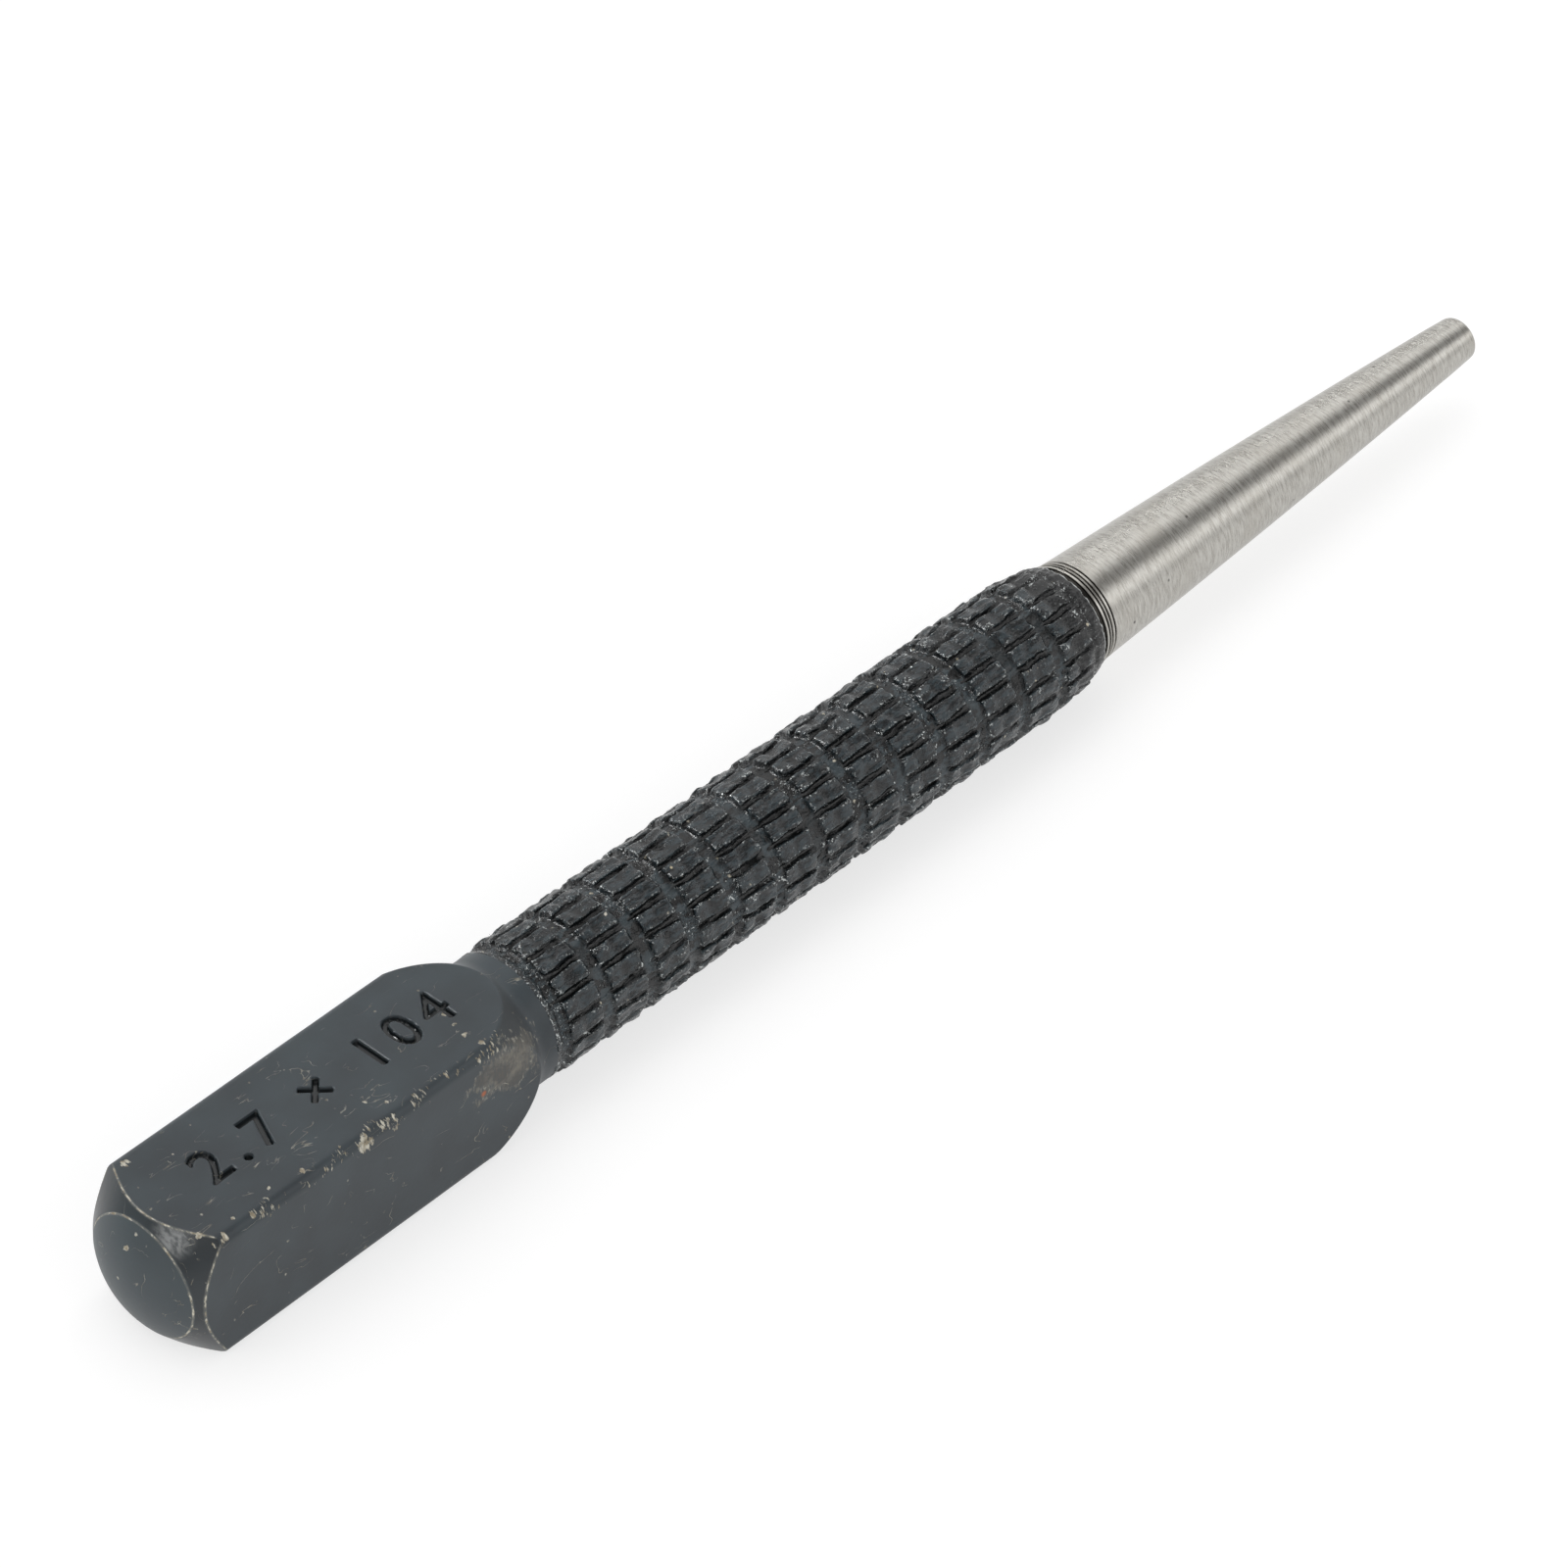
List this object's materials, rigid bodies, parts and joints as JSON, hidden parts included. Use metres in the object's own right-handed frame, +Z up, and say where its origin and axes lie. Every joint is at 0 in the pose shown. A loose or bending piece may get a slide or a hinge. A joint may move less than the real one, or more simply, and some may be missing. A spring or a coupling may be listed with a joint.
{
  "type": "nail setter",
  "caption": "Steel punch with a square painted head, a knurled grip and a long bright taper that ends in a small cupped tip.",
  "frame": {"origin": "on the surface that the tool lies on, below the middle of its length", "axes": "+X along the tool from the striking face to the cupped tip, +Z up out of the resting flat, +Y to the left of the tip"},
  "size_m": [0.1038, 0.008, 0.008],
  "materials": {
    "head_paint": "satin",
    "grip_paint": "gloss",
    "bright_steel": "ground"
  },
  "bodies": {
    "root": {"striking_face": "head_paint", "square_head": "head_paint", "ogive_shoulder": "head_paint", "turned_neck": "head_paint", "knurled_grip": "grip_paint", "paint_collar": "grip_paint", "tapered_shank": "bright_steel", "cup_tip": "bright_steel"}
  },
  "joints": []
}
